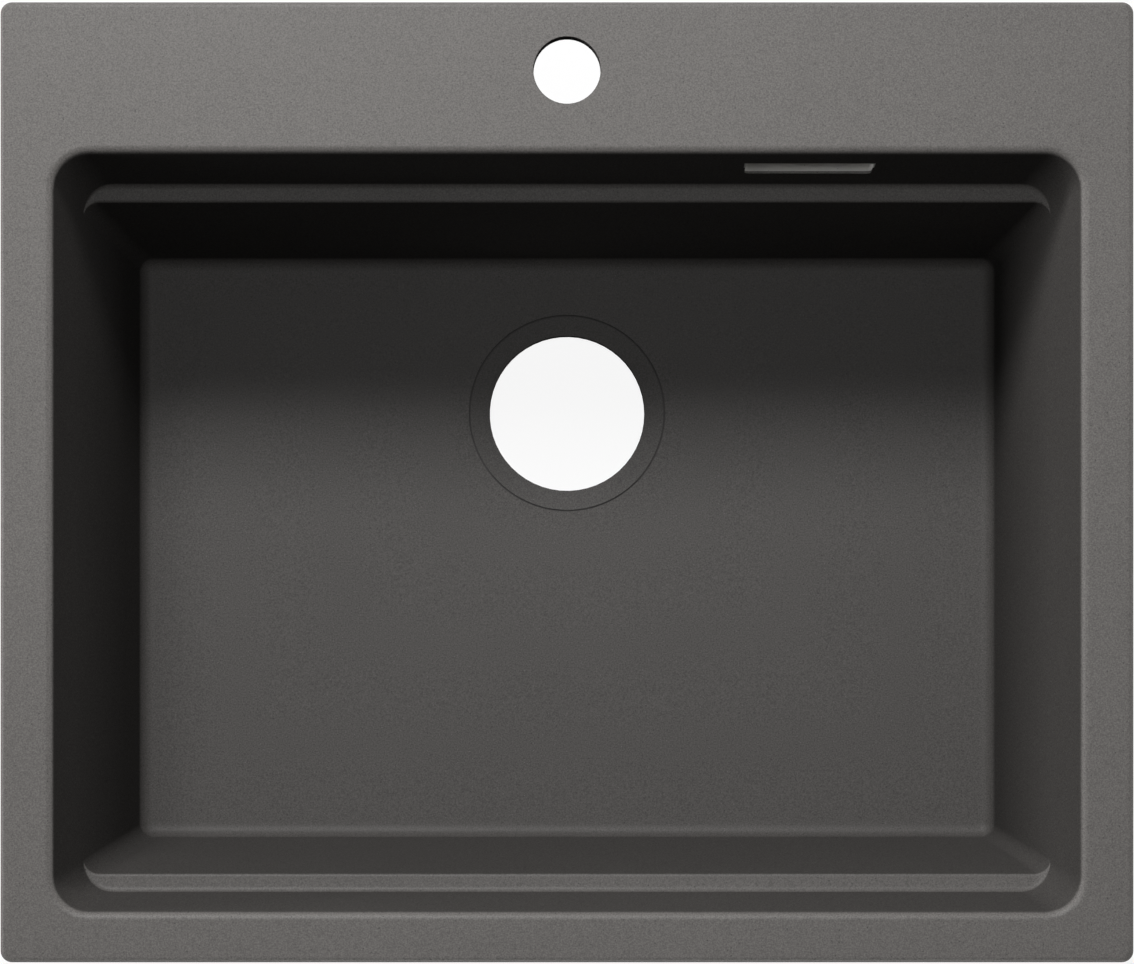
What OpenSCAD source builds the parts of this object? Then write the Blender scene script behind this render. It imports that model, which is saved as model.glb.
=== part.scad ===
// Drop-in kitchen sink with one drafted bowl, accessory ledges and under-rim clamps.
// Units are millimetres. The sink stands on the underside of its bowl at z = 0, +Y is the tap side.

/* [Deck] */
// Width of the deck from side to side
deck_w = 590; // [520:1:700]
// Length of the deck from front to back
deck_l = 500; // [440:1:560]
// Thickness of the deck and rim
deck_t = 8.5; // [7.5:0.5:10]
// Radius of the deck's corners, seen from above
deck_corner_r = 6; // [4:0.5:12]
// Radius of the rounding along the deck's top edge
deck_edge_r = 3; // [1:0.5:5]

/* [Bowl] */
// Width of the rim beside the bowl, up to each side wall
side_land = 27.6; // [26:0.1:50]
// Width of the rim in front of the bowl, up to the front wall
front_land = 26.5; // [26:0.5:40]
// Width of the deck behind the bowl, up to the rear wall
rear_land = 79.2; // [76:0.1:110]
// Depth of the bowl from the deck to the foot of its walls
bowl_depth = 200; // [150:1:230]
// Draft of the bowl's walls, in degrees
draft = 6; // [3:0.5:8]
// Radius of the lip between deck and bowl wall
lip_r = 4.5; // [2:0.5:6]
// Radius of the bowl's corners just under the lip
upper_corner_r = 18.5; // [16:0.5:30]
// Radius of the bowl's corners where they reach the ledges
ledge_corner_r = 16.5; // [14:0.5:20]
// Radius of the bowl's corners below the ledges
lower_corner_r = 8.3; // [7:0.1:9]
// Thickness of the bowl's walls
wall_t = 8; // [6:0.5:9]
// Thickness of the floor at the foot of the walls
floor_t = 11; // [9:0.5:16]
// Radius between wall and floor, inside
floor_r = 7.5; // [5:0.5:8]
// Radius between wall and floor, outside
base_r = 16; // [10:1:24]
// Radius between deck and wall, underneath
root_r = 3.5; // [2:0.5:4.5]
// Fall of the floor from the foot of the walls to the waste recess
floor_fall = 2.5; // [1:0.5:4]

/* [Ledges] */
// Depth of the accessory ledges below the deck
ledge_depth = 65; // [50:1:80]
// Width of the accessory ledges
ledge_w = 9.5; // [8:0.5:12]
// Drop across a ledge, so that it drains
ledge_drop = 0.3; // [0.1:0.1:0.8]
// Radius between upper wall and ledge
ledge_root_r = 3; // [1.5:0.5:4]
// Radius along the ledge's edge
ledge_edge_r = 1.5; // [1:0.5:3]

/* [Holes] */
// Diameter of the tap hole
tap_hole_d = 35; // [32:0.5:40]
// Distance of the tap hole's centre from the rear edge
tap_setback = 35.8; // [30:0.1:38]
// Distance of the knock-out recesses from the tap hole
knockout_pitch = 110; // [90:1:130]
// Depth of the knock-out recesses under the deck
knockout_depth = 4; // [1:0.5:5]
// Diameter of the waste hole
waste_d = 90; // [60:1:92]
// Diameter of the waste recess
waste_recess_d = 114; // [108:1:126]
// Height of the step around the waste recess
waste_step = 1; // [0.5:0.1:1.5]
// Fall of the cone inside the waste recess
waste_cone = 1.2; // [0.8:0.1:3.5]
// Width and depth of the groove at the foot of the step
waste_groove = 0.8; // [0.5:0.1:1.2]
// Diameter of the flat seat under the waste hole
waste_seat_d = 124; // [110:1:140]
// Depth of the flat seat under the waste hole
waste_seat_t = 0.6; // [0.2:0.1:1]
// Distance of the waste hole's centre from the bowl's rear wall, under the lip
waste_setback = 118.7; // [100:0.1:190]
// Width of the overflow slot
overflow_w = 67.5; // [40:0.5:90]
// Height of the overflow slot
overflow_h = 20; // [10:0.5:24]
// Radius of the overflow slot's corners
overflow_r = 2.5; // [1:0.5:4]
// Depth of the overflow slot's centre below the deck
overflow_depth = 31.7; // [28:0.1:40]
// Distance of the overflow slot's centre to the right of the tap hole
overflow_x = 128; // [60:1:140]

/* [Seal] */
// Width of the sealing strip
seal_w = 4.8; // [3:0.1:5]
// Height of the sealing strip
seal_h = 3.4; // [2.8:0.1:5]
// Rounding of the strip's lower edges
seal_round = 1.4; // [0.4:0.1:1.4]
// Depth of the groove that holds the strip
groove_t = 1.6; // [1:0.1:2]
// Distance of the strip's middle from the edge of the deck
seal_inset = 4.5; // [4:0.1:6]
// Radius of the strip's middle line at the corners
seal_corner_r = 8; // [6:0.5:12]
// Side play of the strip in its groove
seal_play = 0.1; // [0.05:0.05:0.3]

/* [Clamps] */
// Gap between the side and front anchors' collars and the bowl's wall
clamp_gap = 0.5; // [0.4:0.1:1]
// Distance of the rear clamp screws from the edge of the deck
clamp_inset = 17; // [16:0.5:24]
// Distance of the front and rear clamps from the sink's centre
clamp_x = 170; // [120:1:200]
// Distance of the side clamps from the bowl's centre
clamp_y = 120; // [60:1:130]
// Diameter of the clamp bosses
boss_d = 13; // [12:0.5:14]
// Depth of the bosses' lower faces below the deck
boss_depth = 30; // [24:1:34]
// Diameter of the plastic anchor
anchor_d = 7; // [6.4:0.1:8]
// Length of the anchor in its boss
anchor_l = 22; // [12:1:24]
// Diameter of the anchor's collar
collar_d = 10; // [9:0.5:12]
// Thickness of the anchor's collar
collar_t = 1.5; // [1:0.1:2]
// Play between the anchor and its hole, on the radius
anchor_play = 0.03; // [0.01:0.01:0.05]
// Diameter of the clamp screw
screw_d = 4; // [3.5:0.1:4.5]
// Running clearance around the screw, on the radius
screw_play = 0.06; // [0.02:0.01:0.09]
// Depth of the clamp arm's upper face below the deck at rest
arm_depth = 43; // [41:1:50]
// Thickness of the clamp arm
arm_t = 1.8; // [1.5:0.1:2.5]
// Width of the clamp arm
arm_w = 10; // [9:0.5:11]
// Reach of the clamp arm from the screw to the face of its toe
arm_reach = 22; // [20:1:30]
// Height of the toe above the clamp arm's lower face
toe_h = 10; // [6:0.5:11]
// Inner radius of the bend at the toe
bend_r = 1.6; // [1:0.1:2.5]
// Number of teeth on the toe
teeth = 4; // [2:1:6]
// Depth of the teeth
tooth_h = 1.4; // [0.8:0.1:2]
// Angle between the parked arm and the rim, in degrees
park_angle = 3; // [2:0.5:4]
// Diameter of the washer
washer_d = 9; // [8.4:0.1:10]
// Thickness of the washer
washer_t = 1; // [0.6:0.1:1.5]
// Diameter of the screw's head
head_d = 8; // [7:0.1:9]
// Height of the screw's head
head_h = 3; // [2.4:0.1:4]
// Gap between clamp pieces that turn on each other
turn_gap = 0.1; // [0.05:0.05:0.3]

/* [Hidden] */
NAMES = ["left_rear", "left_front", "front_left", "front_right",
    "right_front", "right_rear", "rear_right", "rear_left"];
KINDS = ["anchor", "screw", "washer", "bracket"];

// Steps of each quarter round in plan, and of each rounding in section
corner_steps = 8;
arc_steps = 5;
step_steps = 3;
$fn = 64;

sink_h = bowl_depth + floor_t;
bowl_w = deck_w - 2 * side_land;
rear_line = deck_l / 2 - rear_land;
front_line = -deck_l / 2 + front_land;
bowl_y = (rear_line + front_line) / 2;
waste_y = rear_line - waste_setback;
tap_y = deck_l / 2 - tap_setback;
over = 1;
lip_drop = lip_r * (1 - sin(draft));
recess_rim = waste_recess_d / 2 + 3;
floor_corner_r = 1.2;
foot_band = 3;
edge_break = 0.6;

// Depth of the fitted pieces
tip_back = 1;
anchor_hole_l = anchor_l + tip_back;
anchor_hole_r = anchor_d / 2 + anchor_play;
bore_r = screw_d / 2 + screw_play;
washer_depth = arm_depth + arm_t + turn_gap;
head_depth = washer_depth + washer_t + turn_gap;
tip_depth = boss_depth - anchor_l + tip_back;

// Distance of the side and front screws from the line of the bowl's wall, and their lines
clamp_out = wall_t - wall_inset(boss_depth + collar_t) + collar_d / 2 + clamp_gap;
side_x = bowl_w / 2 + clamp_out;
front_y = front_line - clamp_out;
rear_y = deck_l / 2 - clamp_inset;
// Distance from a boss to the middle of the wall behind it
wall_mid = wall_t / 2 - wall_inset(boss_depth);
tie = clamp_out - wall_mid;
rear_tie = rear_y - rear_line - wall_mid;
rib_t = 5;
// For each clamp: place of its screw, direction in which its arm swings out,
// side to which the arm is parked, and distance to the wall that its boss is tied to
CLAMPS = [
    [-side_x, bowl_y + clamp_y, 180, 1, tie],
    [-side_x, bowl_y - clamp_y, 180, -1, tie],
    [-clamp_x, front_y, 270, 1, tie],
    [clamp_x, front_y, 270, -1, tie],
    [side_x, bowl_y - clamp_y, 0, 1, tie],
    [side_x, bowl_y + clamp_y, 0, -1, tie],
    [clamp_x, rear_y, 90, 1, rear_tie],
    [-clamp_x, rear_y, 90, -1, rear_tie],
];

// Inset of the drafted wall at a depth, counted from the line just under the lip
function wall_inset(d) = tan(draft) * (d - lip_drop);

// Corner radius of the upper bowl at a depth
function corner_r(d) = upper_corner_r
    + (ledge_corner_r - upper_corner_r) * min(1, max(0, (d - lip_drop) / (ledge_depth - lip_drop)));

// Stations are lists of inset, extra inset at front and rear, corner radius and depth.
// Rounding from a level face at the outside into the drafted wall
function lip_stations(n) = [for (i = [0:n])
    let (a = (90 - draft) * i / n, inset = lip_r * (sin(a) - cos(draft)))
    [inset, 0, upper_corner_r - inset, lip_r * (1 - cos(a))]];

// Step of the end walls: round into the ledge, along it, and round into the lower wall
function ledge_path(d, root, edge) = concat(
    [for (i = [0:step_steps]) let (a = 88 * i / step_steps) [root * (1 - cos(a)), d - root + root * sin(a)]],
    [for (i = [0:step_steps]) let (a = 2 + 88 * i / step_steps)
        [ledge_w - edge + edge * sin(a), d + ledge_drop + edge * (1 - cos(a))]]);

function ledge_stations(d, root, edge) = [for (p = ledge_path(d, root, edge))
    [wall_inset(p[1]), p[0], ledge_corner_r + (lower_corner_r - ledge_corner_r) * p[0] / ledge_w, p[1]]];

// Rounding from the drafted wall into a level floor at depth d
function foot_stations(d, r, least_r, n) = let (inset = wall_inset(d - r + r * sin(draft)))
    [for (i = [0:n]) let (b = draft + (90 - draft) * i / n, in = r * (cos(draft) - cos(b)))
        [inset + in, ledge_w, max(least_r, lower_corner_r - in), d - r + r * sin(b)]];

function inside_stations() = concat(
    [[-lip_r * cos(draft), 0, upper_corner_r + lip_r * cos(draft), -over]],
    lip_stations(arc_steps),
    ledge_stations(ledge_depth, ledge_root_r, ledge_edge_r),
    foot_stations(bowl_depth, floor_r, floor_corner_r, arc_steps));

// Rounding from the deck's underside into the outer wall
function root_stations(n) = let (d_wall = deck_t + root_r * (1 - sin(draft)), inset = wall_inset(d_wall))
    [for (i = [0:n]) let (a = (90 - draft) * i / n, out = root_r * (cos(draft) - sin(a)))
        [inset - out, 0, corner_r(d_wall) + out, deck_t + root_r * (1 - cos(a))]];

function outside_stations() = concat(
    root_stations(step_steps),
    ledge_stations(ledge_depth + wall_t, ledge_root_r + ledge_edge_r, ledge_root_r),
    foot_stations(sink_h, base_r, floor_corner_r, arc_steps));

// Points of a rounded rectangle, anticlockwise from the right
function ring(half_w, y_front, y_rear, r, z) = [for (c = [0:3]) for (i = [0:corner_steps])
    let (
        a = 90 * c + 90 * i / corner_steps,
        cx = (c == 0 || c == 3 ? 1 : -1) * (half_w - r),
        cy = c < 2 ? y_rear - r : y_front + r)
    [cx + r * cos(a), cy + r * sin(a), z]];

function bowl_ring(s, skin) =
    ring(bowl_w / 2 + skin - s[0], front_line - skin + s[0] + s[1], rear_line + skin - s[0] - s[1],
        s[2] + skin, sink_h - s[3]);

function deck_ring(inset, d) =
    ring(deck_w / 2 - inset, -deck_l / 2 + inset, deck_l / 2 - inset, max(1, deck_corner_r - inset), sink_h - d);

// Points on the floor near the foot of its walls, by equal angles from the waste hole between the corners
function fall_ring(z) = let (
        foot = foot_stations(bowl_depth, floor_r, floor_corner_r, arc_steps)[arc_steps],
        side = bowl_w / 2 - foot[0] - foot_band,
        rear = rear_line - foot[0] - foot[1] - foot_band - waste_y,
        front = waste_y - front_line - foot[0] - foot[1] - foot_band,
        first = atan2(rear, side),
        last = atan2(front, side),
        corners = [first, 180 - first, 180 + last, 360 - last, 360 + first])
    [for (c = [0:3]) for (i = [0:corner_steps])
        let (
            a = corners[c] + (corners[c + 1] - corners[c]) * i / (corner_steps + 1),
            reach = c % 2 == 0 ? (c == 0 ? rear : -front) / sin(a) : (c == 1 ? -side : side) / cos(a))
        [reach * cos(a), waste_y + reach * sin(a), z]];

// Points of the rim around the waste recess, each straight towards a point of the ring around it
function recess_ring(points, z) = [for (p = points)
    let (v = [p[0], p[1] - waste_y], k = recess_rim / norm(v))
    [v[0] * k, waste_y + v[1] * k, z]];

// Solid through a list of rings, from the top one down
module loft(rings) {
    n = len(rings[0]);
    m = len(rings);
    polyhedron(
        points = [for (r = rings) for (p = r) p],
        faces = concat(
            [[for (i = [n - 1:-1:0]) i]],
            [for (k = [0:m - 2]) for (i = [0:n - 1])
                [k * n + i, k * n + (i + 1) % n, (k + 1) * n + (i + 1) % n, (k + 1) * n + i]],
            [[for (i = [0:n - 1]) (m - 1) * n + i]]),
        convexity = 6);
}

// Hollow of the bowl, with a floor that falls to the waste recess
module bowl_hollow() {
    floor_ring = fall_ring(sink_h - bowl_depth);
    loft(concat(
        [for (s = inside_stations()) bowl_ring(s, 0)],
        [floor_ring, recess_ring(floor_ring, sink_h - bowl_depth - floor_fall)]));
}

// Deck and the outer skin of the bowl
module outer_skin() {
    loft(concat(
        [for (i = [0:arc_steps]) let (a = 90 * i / arc_steps)
            deck_ring(deck_edge_r * (1 - sin(a)), deck_edge_r * (1 - cos(a)))],
        [deck_ring(0, deck_t - edge_break), deck_ring(edge_break, deck_t)],
        [for (s = outside_stations()) bowl_ring(s, wall_t)]));
}

// Carries a profile, drawn around its middle line, along a rounded rectangle
module frame_sweep(w, l, r) {
    for (c = [0:3]) {
        sx = c == 0 || c == 3 ? 1 : -1;
        sy = c < 2 ? 1 : -1;
        translate([sx * (w / 2 - r), sy * (l / 2 - r), 0])
            rotate([0, 0, 90 * c])
                rotate_extrude(angle = 90)
                    translate([r, 0])
                        children();
    }
    for (s = [-1, 1]) {
        translate([s * w / 2, s * (l / 2 - r), 0])
            rotate([90, 0, s > 0 ? 0 : 180])
                linear_extrude(l - 2 * r)
                    children();
        translate([-s * (w / 2 - r), s * l / 2, 0])
            rotate([90, 0, s > 0 ? 90 : 270])
                linear_extrude(w - 2 * r)
                    children();
    }
}

// Section of the strip: flat where it sits in the groove, round where it meets the worktop
module seal_section() {
    translate([-seal_w / 2, seal_round])
        square([seal_w, seal_h - seal_round]);
    translate([-seal_w / 2 + seal_round, 0])
        square([seal_w - 2 * seal_round, seal_h]);
    for (s = [-1, 1])
        translate([s * (seal_w / 2 - seal_round), seal_round])
            circle(seal_round);
}

module seal_groove() {
    translate([0, 0, sink_h - deck_t - over])
        frame_sweep(deck_w - 2 * seal_inset, deck_l - 2 * seal_inset, seal_corner_r)
            translate([-seal_w / 2 - seal_play, 0])
                square([seal_w + 2 * seal_play, groove_t + over]);
}

// Overflow slot, cut straight back through the rear wall
module overflow_cut() {
    length = 4 * wall_t;
    translate([overflow_x, rear_line + length / 2, sink_h - overflow_depth])
        rotate([90, 0, 0])
            linear_extrude(length)
                rounded_box(overflow_w, overflow_h, overflow_r);
}

module rounded_box(w, h, r) {
    square([w - 2 * r, h], center = true);
    square([w, h - 2 * r], center = true);
    for (x = [-1, 1])
        for (y = [-1, 1])
            translate([x * (w / 2 - r), y * (h / 2 - r)])
                circle(r);
}

// Waste hole, with the seat underneath and, above, a shallow cone, a small step and the groove at its foot
module waste_cut() {
    top = sink_h - bowl_depth - floor_fall;
    seat = top - waste_step;
    r = waste_recess_d / 2;
    hole_r = waste_d / 2;
    inner_r = r - waste_groove;
    translate([0, waste_y, 0])
        rotate_extrude()
            polygon([
                [0, -over],
                [waste_seat_d / 2, -over],
                [waste_seat_d / 2, waste_seat_t],
                [hole_r, waste_seat_t],
                [hole_r, seat - waste_cone],
                [inner_r, seat - waste_cone * waste_groove / (r - hole_r)],
                [inner_r, seat - waste_groove],
                [r, seat - waste_groove],
                [r, top + over],
                [0, top + over]]);
}

// Boss for one anchor. A near wall carries it by a tie as wide as the boss, a far one by a rib
module boss(back) {
    rise = boss_depth - deck_t + over;
    translate([0, 0, sink_h - boss_depth]) {
        cylinder(h = rise, d = boss_d);
        if (back < 2 * boss_d)
            translate([-back, -boss_d / 2, 0])
                cube([back, boss_d, rise]);
    }
    if (back >= 2 * boss_d)
        rib(back);
}

// Rib under the deck, from the wall behind it, where it is deepest, towards +X
module rib(back) {
    translate([0, rib_t / 2, sink_h])
        rotate([90, 0, 0])
            linear_extrude(rib_t)
                polygon([
                    [-back, over - deck_t],
                    [-back, -boss_depth],
                    [0, -(boss_depth + deck_t) / 2],
                    [0, over - deck_t]]);
}

// Moves a piece that is drawn at the origin to a clamp's screw
module at_clamp(i) {
    translate([CLAMPS[i][0], CLAMPS[i][1], 0])
        rotate([0, 0, CLAMPS[i][2]])
            children();
}

module sink_body() {
    color([0.36, 0.355, 0.35])
        difference() {
            union() {
                outer_skin();
                for (i = [0:len(CLAMPS) - 1])
                    at_clamp(i)
                        boss(CLAMPS[i][4]);
                for (s = [-1, 1])
                    translate([s * knockout_pitch / 2, rear_y, 0])
                        rotate([0, 0, 90])
                            rib(rear_tie);
            }
            bowl_hollow();
            seal_groove();
            overflow_cut();
            waste_cut();
            translate([0, tap_y, sink_h - 2 * deck_t])
                cylinder(h = 3 * deck_t, d = tap_hole_d);
            for (s = [-1, 1])
                translate([s * knockout_pitch, tap_y, sink_h - deck_t - over])
                    cylinder(h = knockout_depth + over, d = tap_hole_d);
            for (i = [0:len(CLAMPS) - 1])
                at_clamp(i)
                    translate([0, 0, sink_h - boss_depth - over])
                        cylinder(h = anchor_hole_l + over, r = anchor_hole_r);
        }
}

module rim_seal() {
    color([0.07, 0.07, 0.07])
        translate([0, 0, sink_h - deck_t + groove_t - seal_h])
            frame_sweep(deck_w - 2 * seal_inset, deck_l - 2 * seal_inset, seal_corner_r)
                seal_section();
}

// Plastic anchor: collar, barbed sleeve and bore for the screw
module anchor() {
    barbs = 5;
    barb = 0.3;
    plain_end = 1;
    pitch = (anchor_l - 2 * plain_end) / barbs;
    barb_l = pitch * 0.8;
    color([0.82, 0.8, 0.74])
        translate([0, 0, sink_h - boss_depth])
            difference() {
                union() {
                    translate([0, 0, -collar_t])
                        cylinder(h = collar_t, d = collar_d);
                    cylinder(h = anchor_l, r = anchor_d / 2 - barb);
                    for (k = [0:barbs - 1])
                        translate([0, 0, plain_end + k * pitch])
                            cylinder(h = barb_l, r1 = anchor_d / 2, r2 = anchor_d / 2 - barb);
                }
                translate([0, 0, -collar_t - over])
                    cylinder(h = anchor_l + collar_t + 2 * over, r = bore_r);
            }
}

// Coarse screw with a pan head and a cross recess, driven from below
module screw() {
    r = screw_d / 2;
    point = 2.5;
    tip_r = r * 0.25;
    shank_l = head_depth - tip_depth - point;
    recess_w = head_d * 0.55;
    recess_h = head_h * 0.6;
    blade_t = 1;
    color([0.72, 0.73, 0.74])
        translate([0, 0, sink_h - head_depth])
            difference() {
                union() {
                    cylinder(h = shank_l, r = r);
                    translate([0, 0, shank_l])
                        cylinder(h = point, r1 = r, r2 = tip_r);
                    rotate([180, 0, 0])
                        pan_head();
                }
                for (a = [0, 90])
                    rotate([0, 0, a])
                        translate([-recess_w / 2, -blade_t / 2, -head_h - over])
                            cube([recess_w, blade_t, recess_h + over]);
            }
}

// Round-edged head, drawn upwards from its bearing face
module pan_head() {
    r = head_d / 2;
    edge = head_h * 0.6;
    rotate_extrude()
        union() {
            square([r, head_h - edge]);
            square([r - edge, head_h]);
            translate([r - edge, head_h - edge])
                intersection() {
                    circle(edge);
                    square(edge);
                }
        }
}

module washer() {
    color([0.7, 0.71, 0.72])
        translate([0, 0, sink_h - washer_depth - washer_t])
            difference() {
                cylinder(h = washer_t, d = washer_d);
                translate([0, 0, -over])
                    cylinder(h = washer_t + 2 * over, r = bore_r);
            }
}

// Side view of the clamp arm: level, then bent up into the toe
module arm_section() {
    bend_x = arm_reach - arm_t - bend_r;
    square([bend_x, arm_t]);
    translate([bend_x, arm_t + bend_r])
        difference() {
            intersection() {
                circle(bend_r + arm_t);
                translate([0, -bend_r - arm_t])
                    square(bend_r + arm_t);
            }
            circle(bend_r);
        }
    translate([arm_reach - arm_t, arm_t + bend_r])
        square([arm_t, toe_h - arm_t - bend_r]);
}

// Stiffening bead pressed into the arm, as a rounded bar
module bead(r, z) {
    plain_start = 2.5;
    plain_end = 3;
    x0 = arm_w / 2 + plain_start;
    x1 = arm_reach - arm_t - bend_r - plain_end;
    translate([x0, 0, z]) {
        rotate([0, 90, 0])
            cylinder(h = x1 - x0, r = r);
        sphere(r);
        translate([x1 - x0, 0, 0])
            sphere(r);
    }
}

// Clamp arm, drawn with its lower face at z = 0 and its toe towards +X
module arm() {
    pitch = arm_w / teeth;
    bead_rise = 0.9;
    bead_r = 2;
    difference() {
        union() {
            rotate([90, 0, 0])
                translate([0, 0, -arm_w / 2])
                    linear_extrude(arm_w)
                        arm_section();
            cylinder(h = arm_t, d = arm_w);
            intersection() {
                bead(bead_r, arm_t + bead_rise - bead_r);
                translate([0, -arm_w / 2, arm_t / 2])
                    cube([arm_reach, arm_w, toe_h]);
            }
        }
        bead(bead_r - arm_t / 2, bead_rise + arm_t / 2 - bead_r);
        translate([0, 0, -over])
            cylinder(h = arm_t + 2 * over, r = bore_r);
        for (k = [0:teeth - 1])
            translate([arm_reach - arm_t - over, -arm_w / 2 + (k + 0.5) * pitch, toe_h])
                rotate([45, 0, 0])
                    translate([0, -tooth_h / sqrt(2), -tooth_h / sqrt(2)])
                        cube([arm_t + 2 * over, tooth_h * sqrt(2), tooth_h * sqrt(2)]);
    }
}

module bracket(side) {
    color([0.66, 0.67, 0.68])
        translate([0, 0, sink_h - arm_depth - arm_t])
            rotate([0, 0, side * (90 - park_angle)])
                arm();
}

sink_body();
rim_seal();
for (i = [0:len(NAMES) - 1]) {
    at_clamp(i) anchor();
    at_clamp(i) screw();
    at_clamp(i) washer();
    at_clamp(i) bracket(CLAMPS[i][3]);
}
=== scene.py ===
"""Finishes, light and camera for a drop-in composite kitchen sink with under-rim clamps."""

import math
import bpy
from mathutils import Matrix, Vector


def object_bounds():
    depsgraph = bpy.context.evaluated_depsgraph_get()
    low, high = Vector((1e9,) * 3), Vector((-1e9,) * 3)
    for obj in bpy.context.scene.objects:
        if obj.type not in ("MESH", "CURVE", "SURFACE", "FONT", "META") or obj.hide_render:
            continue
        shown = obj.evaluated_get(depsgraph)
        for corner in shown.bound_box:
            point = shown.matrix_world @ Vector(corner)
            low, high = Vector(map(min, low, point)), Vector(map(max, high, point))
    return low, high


bl_info = {
    "name": "Composite kitchen sink",
    "version": (1, 0, 0),
    "blender": (4, 5, 0),
    "location": "View3D > Sidebar > Sink",
    "description": "Finishes, light and camera for a drop-in composite sink with under-rim clamps",
    "category": "Object",
}

import bmesh
import bpy
from bpy.props import FloatProperty, FloatVectorProperty, PointerProperty
from mathutils import Vector

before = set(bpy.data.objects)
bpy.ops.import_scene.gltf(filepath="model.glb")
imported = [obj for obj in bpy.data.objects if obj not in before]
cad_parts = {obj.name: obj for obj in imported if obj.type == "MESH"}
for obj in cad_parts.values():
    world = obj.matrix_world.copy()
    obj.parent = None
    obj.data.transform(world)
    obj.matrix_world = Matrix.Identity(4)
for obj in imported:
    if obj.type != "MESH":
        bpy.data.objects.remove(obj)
START_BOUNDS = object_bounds()
DECK_Z = START_BOUNDS[1][2]

# Places and radii in the casting that its masks use, in metres
TAP_Y, TAP_HOLE_R = 0.2142, 0.0177
WASTE_Y, WASTE_HOLE_R = 0.0521, 0.0452
RECESS_R = 0.0571
GROOVE_R, GROOVE_HALF_WIDTH = 0.0566, 0.0005
UNDERSIDE_Z = 0.0045
SLOT_X, SLOT_HALF_WIDTH = 0.128, 0.0345
SLOT_DEPTH, SLOT_HALF_HEIGHT = 0.0317, 0.0105
SLOT_Y = 0.1681

# Depths below the deck over which the lip's painted highlight sets in, and down to which level faces get
# painted light, lighter the higher they lie
LIP_DEPTHS = (0.006, 0.003)
LIFT_DEPTH = 0.16

# Upright part of a face's normal where the painted shade of walls, and the painted highlight of the lip, sets
# in and is full
WALL_TURN = (0.6, 0.25)
LIP_TURN = (0.98, 0.85)

# Strength of the light grains, of the dark grains and of the painted shade on the cut faces
LIGHT_GRAINS, DARK_GRAINS, CUT_FACE_PAINTED_SHADE = 0.7, 0.6, 0.55
# Sets the dark grains apart from the light ones
GRAIN_SHIFT = (0.37, 0.11, 0.23)

# Range that holds most values of a noise
NOISE_RANGE = (0.3, 0.7)

# Radius within which a screw is shank, as a share of its head's width
SHANK_SHARE = 0.28

FLOOR_Z = -0.001
FLOOR_RINGS = (0.5, 2.0, 8.0, 30.0)
FLOOR_STEPS = 96


# Node trees

class Tree:
    """Adds nodes to a node tree. An input is a constant or the socket of another node."""

    def __init__(self, tree):
        self.tree = tree
        tree.nodes.clear()

    def connect(self, socket, value):
        if isinstance(value, bpy.types.NodeSocket):
            self.tree.links.new(value, socket)
        else:
            socket.default_value = value

    def add(self, kind, inputs, **settings):
        node = self.tree.nodes.new(kind)
        for name, value in settings.items():
            setattr(node, name, value)
        for key, value in inputs.items():
            self.connect(node.inputs[key], value)
        return node

    def math(self, operation, a, b=0.0, c=0.0):
        return self.add("ShaderNodeMath", {0: a, 1: b, 2: c}, operation=operation).outputs[0]

    def vector(self, operation, a, b):
        return self.add("ShaderNodeVectorMath", {0: a, 1: b}, operation=operation).outputs[0]

    def scale(self, colour, factor):
        return self.add("ShaderNodeVectorMath", {0: colour, "Scale": factor}, operation="SCALE").outputs[0]

    def noise(self, where, scale, detail=2.0, roughness=0.5):
        inputs = {"Vector": where, "Scale": scale, "Detail": detail, "Roughness": roughness}
        return self.add("ShaderNodeTexNoise", inputs).outputs["Fac"]

    def remap(self, value, low, high, to_low=0.0, to_high=1.0):
        inputs = {"Value": value, "From Min": low, "From Max": high, "To Min": to_low, "To Max": to_high}
        return self.add("ShaderNodeMapRange", inputs).outputs["Result"]

    def between(self, mask, low, high):
        """Low where the mask is 0, high where it is 1."""
        return self.remap(mask, 0.0, 1.0, low, high)

    def spread(self, noise, low, high):
        """A noise over the whole way from low to high."""
        return self.remap(noise, *NOISE_RANGE, low, high)

    def mix(self, factor, a, b):
        node = self.add("ShaderNodeMix", {}, data_type="RGBA")
        for name, value in (("Factor_Float", factor), ("A_Color", a), ("B_Color", b)):
            self.connect(next(s for s in node.inputs if s.identifier == name), value)
        return next(s for s in node.outputs if s.identifier == "Result_Color")

    def specks(self, where, size, share, radius):
        """Mask of round grains: one in some cells of a given size, each grain a part of its cell."""
        cells = self.add("ShaderNodeTexVoronoi", {"Vector": where, "Scale": 1 / size})
        chosen = self.math("GREATER_THAN", self.add(
            "ShaderNodeSeparateColor", {"Color": cells.outputs["Color"]}).outputs["Red"], 1 - share)
        return self.math("MULTIPLY", chosen, self.remap(cells.outputs["Distance"], radius, radius * 0.6))

    def stains(self, where, scale, low, high, amount, clean, stained):
        """A stained colour and the stains' mask."""
        inputs = {"Vector": where, "Scale": scale, "Low": low, "High": high,
                  "Amount": amount, "Clean": clean, "Stained": stained}
        node = self.add("ShaderNodeGroup", inputs, node_tree=stains_group())
        return node.outputs["Color"], node.outputs["Mask"]

    def bump(self, height, depth):
        inputs = {"Height": height, "Distance": depth, "Strength": 1.0}
        return self.add("ShaderNodeBump", inputs).outputs["Normal"]

    def surface(self, **inputs):
        shader = self.add("ShaderNodeBsdfPrincipled", {k.replace("_", " "): v for k, v in inputs.items()})
        self.output(shader.outputs[0])

    def output(self, shader):
        self.add("ShaderNodeOutputMaterial", {"Surface": shader})


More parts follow.
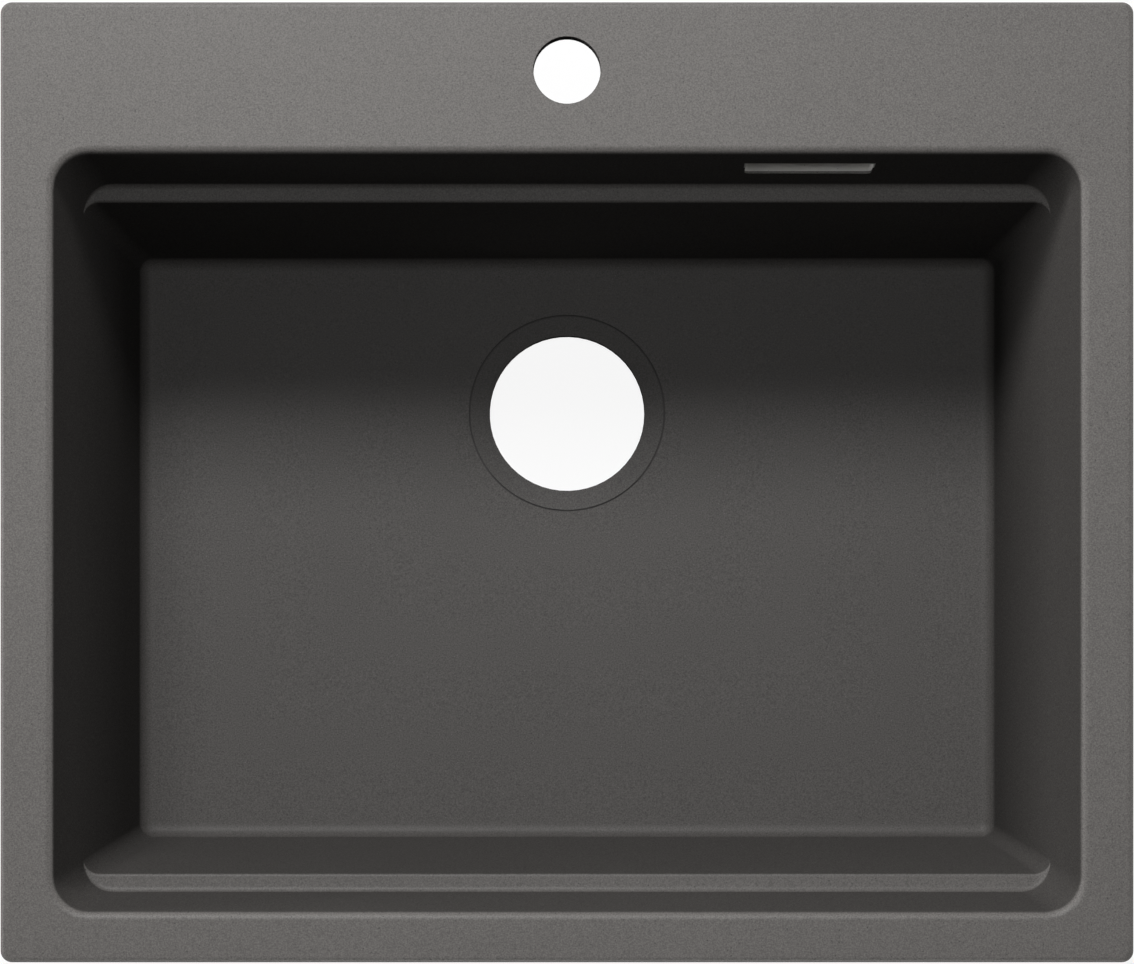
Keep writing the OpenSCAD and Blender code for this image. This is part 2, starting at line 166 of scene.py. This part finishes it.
def stains_group():
    """Group that darkens a clean colour in cloudy stains. Each material places it with its own values."""
    group = bpy.data.node_groups.get("Stains")
    if group:
        return group
    group = bpy.data.node_groups.new("Stains", "ShaderNodeTree")
    sockets = (("Vector", "Vector"), ("Scale", "Float"), ("Low", "Float"), ("High", "Float"),
               ("Amount", "Float"), ("Clean", "Color"), ("Stained", "Color"))
    for name, kind in sockets:
        group.interface.new_socket(name, in_out="INPUT", socket_type="NodeSocket" + kind)
    for name, kind in (("Color", "Color"), ("Mask", "Float")):
        group.interface.new_socket(name, in_out="OUTPUT", socket_type="NodeSocket" + kind)
    tree = Tree(group)
    source = tree.add("NodeGroupInput", {}).outputs
    cloud = tree.noise(source["Vector"], source["Scale"], 4.0, 0.6)
    factor = tree.remap(cloud, source["Low"], source["High"], 0.0, source["Amount"])
    stained = tree.mix(factor, source["Clean"], source["Stained"])
    tree.add("NodeGroupOutput", {"Color": stained, "Mask": cloud})
    return group


def material(name):
    mat = bpy.data.materials.new(name)
    mat.use_nodes = True
    return mat, Tree(mat.node_tree)


def rgba(colour, factor=1.0):
    return (*(min(1.0, c * factor) for c in colour), 1.0)


def set_material(obj, mat):
    obj.data.materials.clear()
    obj.data.materials.append(mat)
    for polygon in obj.data.polygons:
        polygon.material_index = 0


# Shapes

def smoothing_nodes():
    """Joins the facets of a mesh and smooths its shading, except across edges sharper than Angle."""
    group = bpy.data.node_groups.get("Smooth facets")
    if group:
        return group
    group = bpy.data.node_groups.new("Smooth facets", "GeometryNodeTree")
    for name, direction in (("Mesh", "INPUT"), ("Mesh", "OUTPUT")):
        group.interface.new_socket(name, in_out=direction, socket_type="NodeSocketGeometry")
    angle = group.interface.new_socket("Angle", in_out="INPUT", socket_type="NodeSocketFloat")
    angle.subtype = "ANGLE"
    nodes = Tree(group)
    source = nodes.add("NodeGroupInput", {})
    merged = nodes.add("GeometryNodeMergeByDistance", {"Geometry": source.outputs["Mesh"], "Distance": 2e-6})
    edge = nodes.add("GeometryNodeInputMeshEdgeAngle", {})
    sharp = nodes.math("GREATER_THAN", edge.outputs["Unsigned Angle"], source.outputs["Angle"])
    normals = nodes.add("GeometryNodeSetMeshNormal", {"Mesh": merged.outputs[0]}, mode="SHARPNESS")
    nodes.tree.links.new(sharp, normals.inputs["Edge Sharpness"])
    nodes.add("NodeGroupOutput", {"Mesh": normals.outputs[0]})
    return group


def smooth(obj, degrees):
    group = smoothing_nodes()
    facets = obj.modifiers.new("Smooth facets", "NODES")
    facets.node_group = group
    key = next(s.identifier for s in group.interface.items_tree if s.name == "Angle")
    facets[key] = math.radians(degrees)
    normals = obj.modifiers.new("Face weights", "WEIGHTED_NORMAL")
    normals.keep_sharp = True


def pieces(kind):
    return [obj for name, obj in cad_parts.items() if name.startswith(kind + "_")]


# Settings

def colour(name, description, default):
    return FloatVectorProperty(name=name, description=description, default=default,
                               subtype="COLOR", min=0, max=1)


def length(name, description, default):
    return FloatProperty(name=name, description=description, default=default, unit="LENGTH", min=0)


def share(name, description, default):
    return FloatProperty(name=name, description=description, default=default, subtype="FACTOR", min=0, max=1)


def power(name, description, default):
    return FloatProperty(name=name, description=description, default=default, unit="POWER", min=0)


class CompositeSettings(bpy.types.PropertyGroup):
    base: colour("Base", "Colour of the resin with its fine filler", (0.0652, 0.0617, 0.059))
    light_grain: colour("Light grains", "Colour of the quartz grains that catch the light",
                        (0.125, 0.1225, 0.118))
    # The dark grains' colour is also the painted shade on the groove and on the holes' own faces
    dark_grain_and_painted_shade: colour("Dark grains", "Colour of the dark grains", (0.018, 0.0176, 0.0172))
    grain: length("Grain", "Size of the filler's grain", 0.0008)
    relief: length("Relief", "Depth of the surface's fine texture", 0.00001)
    # Painted light: the overflow slot's faces are painted light grey, standing in for a lit sill
    slot_painted_light: colour("Sawn faces", "Colour of the sawn faces in the overflow slot", (0.56, 0.55, 0.53))
    # Painted light: the deck and ledges are painted lighter than the bowl's floor, the more the higher they
    # lie
    lift: FloatProperty(
        name="Deck lift", description="How much lighter the deck and ledges are than the bowl's floor",
        default=1.64, min=0.5, max=2.5)
    # Painted shade: upright faces are painted darker than level ones
    wall_painted_shade: share("Wall tone", "Lightness of the upright faces as a share of the base", 0.95)
    # Painted shade: the waste recess is painted darker than the floor around it
    recess_painted_shade: share("Recess tone", "Lightness of the waste recess as a share of the floor's", 0.92)
    # Painted highlight: the lip's rounding is painted lighter
    lip_painted_highlight: FloatProperty(name="Lip tone", description="How much lighter the rubbed rounding of the lip is",
                            default=1.15, min=0.5, max=2.0)
    roughness: share("Roughness", "Roughness of the deck and ledges", 0.5)
    bowl_roughness: share("Bowl roughness", "Roughness of the bowl's floor", 0.56)
    wall_roughness: share("Wall roughness", "Added roughness of upright faces", 0.4)
    sheen: share("Sheen", "Specular level of level faces", 0.22)
    wall_sheen: share("Wall sheen", "Specular level of upright faces", 0.02)


class FittingSettings(bpy.types.PropertyGroup):
    rubber: colour("Rubber", "Colour of the sealing strip", (0.016, 0.016, 0.017))
    plastic: colour("Plastic", "Colour of the anchors", (0.62, 0.60, 0.54))
    zinc: colour("Zinc", "Colour of the plated screws and washers", (0.62, 0.63, 0.65))
    sheet: colour("Sheet", "Colour of the galvanised clamp arms", (0.55, 0.56, 0.57))
    pitch: length("Thread pitch", "Pitch of the clamp screws' thread", 0.0016)
    thread_depth: length("Thread depth", "Depth of the clamp screws' thread", 0.0003)


class StageSettings(bpy.types.PropertyGroup):
    height: length("Height", "Height of the camera above the deck", 1.7266)
    setback: length("Setback", "Distance of the camera in front of the deck's middle", 0.1034)
    view_width: length("View width", "Width of the deck plane that the picture shows", 0.5897)
    key: power("Key", "Power of the large light behind the sink", 46.0)
    top: power("Top", "Power of the light above the sink", 34.0)
    side: power("Side", "Power of the low light on the left", 44.0)
    fill: power("Fill", "Power of the low light on the right", 13.0)
    front: power("Front", "Power of the light in front, below the rim", 40.0)
    ambient: share("Ambient", "Strength of the light from all around", 0.01)
    glow: share("Floor glow", "White of the floor and background that doesn't depend on the light", 0.9)
    mirrored: share("Mirrored", "Share of the background's white that glossy surfaces mirror", 0.4)


# Operators

class SINK_OT_body(bpy.types.Operator):
    """Gives the cast body its fine-grained composite surface, with painted light and shade"""

    bl_idname = "sink.body"
    bl_label = "Composite body"

    def execute(self, context):
        s = context.scene.sink_composite
        mat, tree = material("quartz_composite")
        coordinates = tree.add("ShaderNodeTexCoord", {}).outputs
        where = coordinates["Object"]
        cloud = tree.noise(where, 11.0, 2.0)
        mottle = tree.noise(where, 90.0, 3.0, 0.6)
        grain = tree.noise(where, 1 / s.grain, 2.0, 0.6)
        tone = tree.math("ADD", tree.spread(cloud, -0.02, 0.02), tree.spread(mottle, -0.022, 0.022))
        tone = tree.math("ADD", tone, tree.remap(grain, 0.25, 0.75, 0.6, 1.4))
        axes = tree.add("ShaderNodeSeparateXYZ", {0: where}).outputs
        raised = tree.remap(axes["Z"], DECK_Z - LIFT_DEPTH, DECK_Z)
        normal = tree.add("ShaderNodeSeparateXYZ", {0: coordinates["Normal"]}).outputs
        level = tree.math("ABSOLUTE", normal["Z"])
        wall = tree.remap(level, *WALL_TURN)
        # Painted light: level faces are painted lighter the higher they lie, by the full amount on the deck
        # Painted shade: upright walls are painted darker than level faces
        painted_light_gain = tree.between(wall, tree.between(raised, 1.0, s.lift), s.wall_painted_shade)
        # Painted highlight on the lip's rounding, just below the deck
        at_lip = tree.remap(axes["Z"], *(DECK_Z - depth for depth in LIP_DEPTHS))
        lip = tree.math("MULTIPLY", at_lip, tree.remap(level, *LIP_TURN))
        painted_light_gain = tree.math("MULTIPLY", painted_light_gain, tree.between(lip, 1.0, s.lip_painted_highlight))
        recess, groove, holes = self.cuts(tree, axes)
        # Painted shade: the waste recess is painted darker
        painted_light_gain = tree.math("MULTIPLY", painted_light_gain, tree.between(recess, 1.0, s.recess_painted_shade))
        tone = tree.math("MULTIPLY", tone, painted_light_gain)
        surface = tree.scale(rgba(s.base)[:3], tone)
        # Painted light: the overflow slot's faces are painted light grey
        surface = tree.mix(self.slot(tree, axes), surface, rgba(s.slot_painted_light))
        light = tree.specks(where, 2.2 * s.grain, 0.12, 0.2)
        dark = tree.specks(tree.vector("ADD", where, GRAIN_SHIFT), 2.6 * s.grain, 0.12, 0.22)
        surface = tree.mix(tree.math("MULTIPLY", light, LIGHT_GRAINS), surface, rgba(s.light_grain))
        surface = tree.mix(tree.math("MULTIPLY", dark, DARK_GRAINS), surface, rgba(s.dark_grain_and_painted_shade))
        # Painted shade: the groove round the recess and the holes' own faces are painted dark
        painted_cut_shade = tree.math("MAXIMUM", holes, groove)
        surface = tree.mix(tree.math("MULTIPLY", painted_cut_shade, CUT_FACE_PAINTED_SHADE), surface, rgba(s.dark_grain_and_painted_shade))
        relief = tree.math("MULTIPLY_ADD", mottle, 0.4, grain)
        roughness = tree.between(raised, s.bowl_roughness, s.roughness)
        roughness = tree.math("ADD", roughness, tree.math("MULTIPLY", wall, s.wall_roughness))
        specular = tree.between(holes, tree.between(wall, s.sheen, s.wall_sheen), 0.0)
        tree.surface(
            Base_Color=surface,
            Roughness=tree.math("ADD", roughness, tree.spread(mottle, -0.02, 0.02)),
            Specular_IOR_Level=specular,
            Normal=tree.bump(relief, s.relief))
        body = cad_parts["sink_body"]
        set_material(body, mat)
        smooth(body, 32)
        return {"FINISHED"}

    def cuts(self, tree, axes):
        """Masks of the waste recess, of the groove around it and of the two holes' own faces."""
        level = tree.add("ShaderNodeCombineXYZ", {"X": axes["X"], "Y": axes["Y"]}).outputs[0]
        tap, waste = (tree.add("ShaderNodeVectorMath", {0: level, 1: (0.0, y, 0.0)}, operation="DISTANCE")
                      .outputs["Value"] for y in (TAP_Y, WASTE_Y))
        inside = tree.math("GREATER_THAN", axes["Z"], UNDERSIDE_Z)
        recess = tree.math("MULTIPLY", inside, tree.math("LESS_THAN", waste, RECESS_R))
        ring = tree.math("COMPARE", waste, GROOVE_R, GROOVE_HALF_WIDTH)
        groove = tree.math("MULTIPLY", inside, ring)
        at_tap = tree.math("LESS_THAN", tap, TAP_HOLE_R)
        at_waste = tree.math("LESS_THAN", waste, WASTE_HOLE_R)
        return recess, groove, tree.math("MAXIMUM", at_tap, at_waste)

    def slot(self, tree, axes):
        """Mask of the overflow slot's own faces, behind the face of the bowl's rear wall."""
        beside = tree.math("COMPARE", axes["X"], SLOT_X, SLOT_HALF_WIDTH)
        level = tree.math("COMPARE", axes["Z"], DECK_Z - SLOT_DEPTH, SLOT_HALF_HEIGHT)
        behind = tree.math("GREATER_THAN", axes["Y"], SLOT_Y)
        return tree.math("MULTIPLY", tree.math("MULTIPLY", beside, level), behind)


class SINK_OT_seal(bpy.types.Operator):
    """Gives the sealing strip its rubber surface"""

    bl_idname = "sink.seal"
    bl_label = "Sealing strip"

    def execute(self, context):
        s = context.scene.sink_fittings
        mat, tree = material("seal_rubber")
        where = tree.add("ShaderNodeTexCoord", {}).outputs["Object"]
        surface, dust = tree.stains(where, 90.0, 0.45, 0.75, 0.35, rgba(s.rubber), rgba(s.rubber, 3.5))
        pores = tree.noise(where, 2200.0, 2.0)
        tree.surface(Base_Color=surface, Roughness=tree.spread(dust, 0.62, 0.82),
                     Normal=tree.bump(pores, 0.00001))
        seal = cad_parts["rim_seal"]
        set_material(seal, mat)
        smooth(seal, 40)
        return {"FINISHED"}


class SINK_OT_anchors(bpy.types.Operator):
    """Gives the anchors their moulded plastic surface"""

    bl_idname = "sink.anchors"
    bl_label = "Anchors"

    def execute(self, context):
        s = context.scene.sink_fittings
        mat, tree = material("anchor_nylon")
        where = tree.add("ShaderNodeTexCoord", {}).outputs["Object"]
        surface, cloud = tree.stains(where, 180.0, 0.35, 0.65, 1.0, rgba(s.plastic), rgba(s.plastic, 0.86))
        fine = tree.noise(where, 2600.0, 2.0)
        tree.surface(Base_Color=surface, Roughness=tree.spread(cloud, 0.38, 0.52),
                     Subsurface_Weight=0.1, Subsurface_Scale=0.001, Normal=tree.bump(fine, 0.000006))
        for obj in pieces("anchor"):
            set_material(obj, mat)
            smooth(obj, 30)
        return {"FINISHED"}


class SINK_OT_screws(bpy.types.Operator):
    """Gives the screws their plated surface and thread"""

    bl_idname = "sink.screws"
    bl_label = "Screws"

    def execute(self, context):
        s = context.scene.sink_fittings
        mat, tree = material("screw_zinc")
        coordinates = tree.add("ShaderNodeTexCoord", {}).outputs
        where = coordinates["Object"]
        surface, stains = tree.stains(where, 240.0, 0.4, 0.7, 1.0, rgba(s.zinc), rgba(s.zinc, 0.78))
        thread = self.thread(tree, coordinates["Generated"], pieces("screw")[0].dimensions, s)
        # Painted shade: the thread's roots are painted darker, the more towards the root
        surface = tree.mix(tree.remap(thread, -1.0, -0.4, 0.45, 0.0), surface, rgba(s.zinc, 0.3))
        relief = tree.math("MULTIPLY_ADD", stains, 0.03, thread)
        tree.surface(Base_Color=surface, Metallic=1.0,
                     Roughness=tree.spread(stains, 0.24, 0.38),
                     Normal=tree.bump(relief, s.thread_depth))
        for obj in pieces("screw"):
            set_material(obj, mat)
            smooth(obj, 30)
        return {"FINISHED"}

    def thread(self, tree, generated, size, s):
        """Height of a thread around the shank: 0 at its crest and on the head, -1 at its root."""
        place = tree.vector("MULTIPLY", tree.vector("SUBTRACT", generated, (0.5, 0.5, 0.0)), size)
        axes = tree.add("ShaderNodeSeparateXYZ", {0: place}).outputs
        turn = tree.math("DIVIDE", tree.math("ARCTAN2", axes["Y"], axes["X"]), math.tau)
        flank = tree.math("PINGPONG", tree.math("ADD", tree.math("DIVIDE", axes["Z"], s.pitch), turn), 0.5)
        radius = tree.math("SQRT", tree.math("ADD", tree.math("MULTIPLY", axes["X"], axes["X"]),
                                             tree.math("MULTIPLY", axes["Y"], axes["Y"])))
        shank = tree.math("LESS_THAN", radius, SHANK_SHARE * size[0])
        return tree.math("MULTIPLY", tree.math("MULTIPLY", flank, -2.0), shank)


class SINK_OT_washers(bpy.types.Operator):
    """Gives the washers their plated, rubbed surface"""

    bl_idname = "sink.washers"
    bl_label = "Washers"

    def execute(self, context):
        s = context.scene.sink_fittings
        mat, tree = material("washer_zinc")
        where = tree.add("ShaderNodeTexCoord", {}).outputs["Object"]
        surface, stains = tree.stains(where, 300.0, 0.4, 0.7, 1.0, rgba(s.zinc), rgba(s.zinc, 0.8))
        scratches = tree.noise(tree.vector("MULTIPLY", where, (5200.0, 700.0, 700.0)), 1.0, 2.0)
        tree.surface(Base_Color=surface, Metallic=1.0,
                     Roughness=tree.spread(scratches, 0.26, 0.42),
                     Normal=tree.bump(scratches, 0.000004))
        for obj in pieces("washer"):
            set_material(obj, mat)
            smooth(obj, 30)
        return {"FINISHED"}


class SINK_OT_brackets(bpy.types.Operator):
    """Gives the clamp arms their galvanised sheet surface"""

    bl_idname = "sink.brackets"
    bl_label = "Clamp arms"

    def execute(self, context):
        s = context.scene.sink_fittings
        mat, tree = material("clamp_sheet")
        where = tree.add("ShaderNodeTexCoord", {}).outputs["Object"]
        spangle = tree.add("ShaderNodeTexVoronoi", {"Vector": where, "Scale": 420.0})
        tone = tree.add("ShaderNodeSeparateColor", {"Color": spangle.outputs["Color"]}).outputs["Red"]
        zinc = tree.mix(tone, rgba(s.sheet), rgba(s.sheet, 0.82))
        surface, grime = tree.stains(where, 110.0, 0.55, 0.8, 0.4, zinc, rgba(s.sheet, 0.45))
        tree.surface(Base_Color=surface, Metallic=1.0,
                     Roughness=tree.between(tone, 0.3, 0.46),
                     Normal=tree.bump(grime, 0.00002))
        for obj in pieces("bracket"):
            set_material(obj, mat)
            smooth(obj, 30)
        return {"FINISHED"}


class SINK_OT_stage(bpy.types.Operator):
    """Builds the white floor and backdrop, the soft light and the camera above the sink"""

    bl_idname = "sink.stage"
    bl_label = "Floor, light and camera"

    def execute(self, context):
        s = context.scene.sink_stage
        context.scene.view_settings.view_transform = "Standard"
        self.floor(s)
        self.world(context.scene, s)
        self.light("Key", 2.0, 105.0, 50.5, (0.78, 0.48), s.key)
        self.light("Top", 4.0, 90.0, 88.0, (1.0, 1.0), s.top)
        self.light("Side", 3.0, 175.0, 12.0, (0.6, 0.6), s.side)
        self.light("Fill", 3.0, 5.0, 10.0, (0.6, 0.6), s.fill)
        self.light("Front", 3.0, 270.0, -2.0, (1.6, 0.16), s.front)
        self.camera(context.scene, s)
        return {"FINISHED"}

    def floor(self, s):
        """A wide level floor just under the sink's base."""
        mesh = bpy.data.meshes.new("floor")
        shape = bmesh.new()
        turns = [math.tau * i / FLOOR_STEPS for i in range(FLOOR_STEPS)]
        rings = [[shape.verts.new((r * math.cos(turn), r * math.sin(turn), FLOOR_Z)) for turn in turns]
                 for r in FLOOR_RINGS]
        shape.faces.new(rings[0])
        for inner, outer in zip(rings, rings[1:]):
            for i in range(FLOOR_STEPS):
                k = (i + 1) % FLOOR_STEPS
                shape.faces.new((inner[i], outer[i], outer[k], inner[k]))
        shape.to_mesh(mesh)
        shape.free()
        obj = bpy.data.objects.new("floor", mesh)
        bpy.context.collection.objects.link(obj)
        mat, tree = material("studio_floor")
        where = tree.add("ShaderNodeTexCoord", {}).outputs["Object"]
        paper = tree.spread(tree.noise(where, 300.0, 2.0), 0.78, 0.82)
        white = tree.add("ShaderNodeCombineColor", {"Red": paper, "Green": paper, "Blue": paper}).outputs[0]
        matte = tree.add("ShaderNodeBsdfDiffuse", {"Color": white}).outputs[0]
        glow = tree.add("ShaderNodeEmission", {"Color": (1, 1, 1, 1), "Strength": 1.0}).outputs[0]
        glowing = tree.math("MULTIPLY", self.seen(tree, 1.0), s.glow)
        tree.output(tree.add("ShaderNodeMixShader", {0: glowing, 1: matte, 2: glow}).outputs[0])
        set_material(obj, mat)

    def seen(self, tree, mirrored):
        """1 for rays from the camera, also through glass, and a given share for mirrored ones."""
        rays = tree.add("ShaderNodeLightPath", {}).outputs
        straight = tree.math("MAXIMUM", rays["Is Camera Ray"], rays["Is Transmission Ray"])
        return tree.math("MAXIMUM", straight, tree.math("MULTIPLY", rays["Is Glossy Ray"], mirrored))

    def world(self, scene, s):
        world = bpy.data.worlds.new("studio")
        world.use_nodes = True
        tree = Tree(world.node_tree)
        strength = tree.between(self.seen(tree, s.mirrored), s.ambient, s.glow)
        background = tree.add("ShaderNodeBackground", {"Color": (1, 1, 1, 1), "Strength": strength})
        tree.add("ShaderNodeOutputWorld", {"Surface": background.outputs[0]})
        scene.world = world

    def light(self, name, distance, azimuth, elevation, size, power):
        """An area light that faces the middle of the deck. Angles are in degrees."""
        lamp = bpy.data.lights.new(name, "AREA")
        lamp.shape = "RECTANGLE"
        lamp.size, lamp.size_y = size
        lamp.energy = power
        azimuth, elevation = math.radians(azimuth), math.radians(elevation)
        away = Vector((math.cos(azimuth) * math.cos(elevation), math.sin(azimuth) * math.cos(elevation),
                       math.sin(elevation)))
        obj = bpy.data.objects.new(name, lamp)
        obj.location = Vector((0, 0, DECK_Z)) + distance * away
        obj.rotation_euler = away.to_track_quat("Z", "Y").to_euler()
        bpy.context.collection.objects.link(obj)

    def camera(self, scene, s):
        camera = bpy.data.cameras.new("Camera")
        camera.sensor_width = 36.0
        camera.lens = camera.sensor_width * s.height / s.view_width
        camera.shift_y = s.setback / s.view_width
        camera.clip_end = 50.0
        obj = bpy.data.objects.new("Camera", camera)
        obj.location = (0, -s.setback, DECK_Z + s.height)
        bpy.context.collection.objects.link(obj)
        scene.camera = obj


OPERATORS = (SINK_OT_body, SINK_OT_seal, SINK_OT_anchors, SINK_OT_screws, SINK_OT_washers,
             SINK_OT_brackets, SINK_OT_stage)
SETTINGS = {"sink_composite": CompositeSettings, "sink_fittings": FittingSettings,
            "sink_stage": StageSettings}


class SINK_PT_panel(bpy.types.Panel):
    """Lists the sink's pieces and settings"""

    bl_idname = "SINK_PT_panel"
    bl_label = "Sink"
    bl_space_type = "VIEW_3D"
    bl_region_type = "UI"
    bl_category = "Sink"

    def draw(self, context):
        for operator in OPERATORS:
            self.layout.operator(operator.bl_idname)
        for name, settings in SETTINGS.items():
            box = self.layout.box()
            for prop in settings.__annotations__:
                box.prop(getattr(context.scene, name), prop)


def register():
    for cls in (*SETTINGS.values(), *OPERATORS, SINK_PT_panel):
        bpy.utils.register_class(cls)
    for name, settings in SETTINGS.items():
        setattr(bpy.types.Scene, name, PointerProperty(type=settings))


def unregister():
    for name in SETTINGS:
        delattr(bpy.types.Scene, name)
    for cls in (SINK_PT_panel, *reversed(OPERATORS), *reversed(tuple(SETTINGS.values()))):
        bpy.utils.unregister_class(cls)


def main():
    register()
    bpy.ops.sink.body()
    bpy.ops.sink.seal()
    bpy.ops.sink.anchors()
    bpy.ops.sink.screws()
    bpy.ops.sink.washers()
    bpy.ops.sink.brackets()
    bpy.ops.sink.stage()


if __name__ == "__main__":
    main()
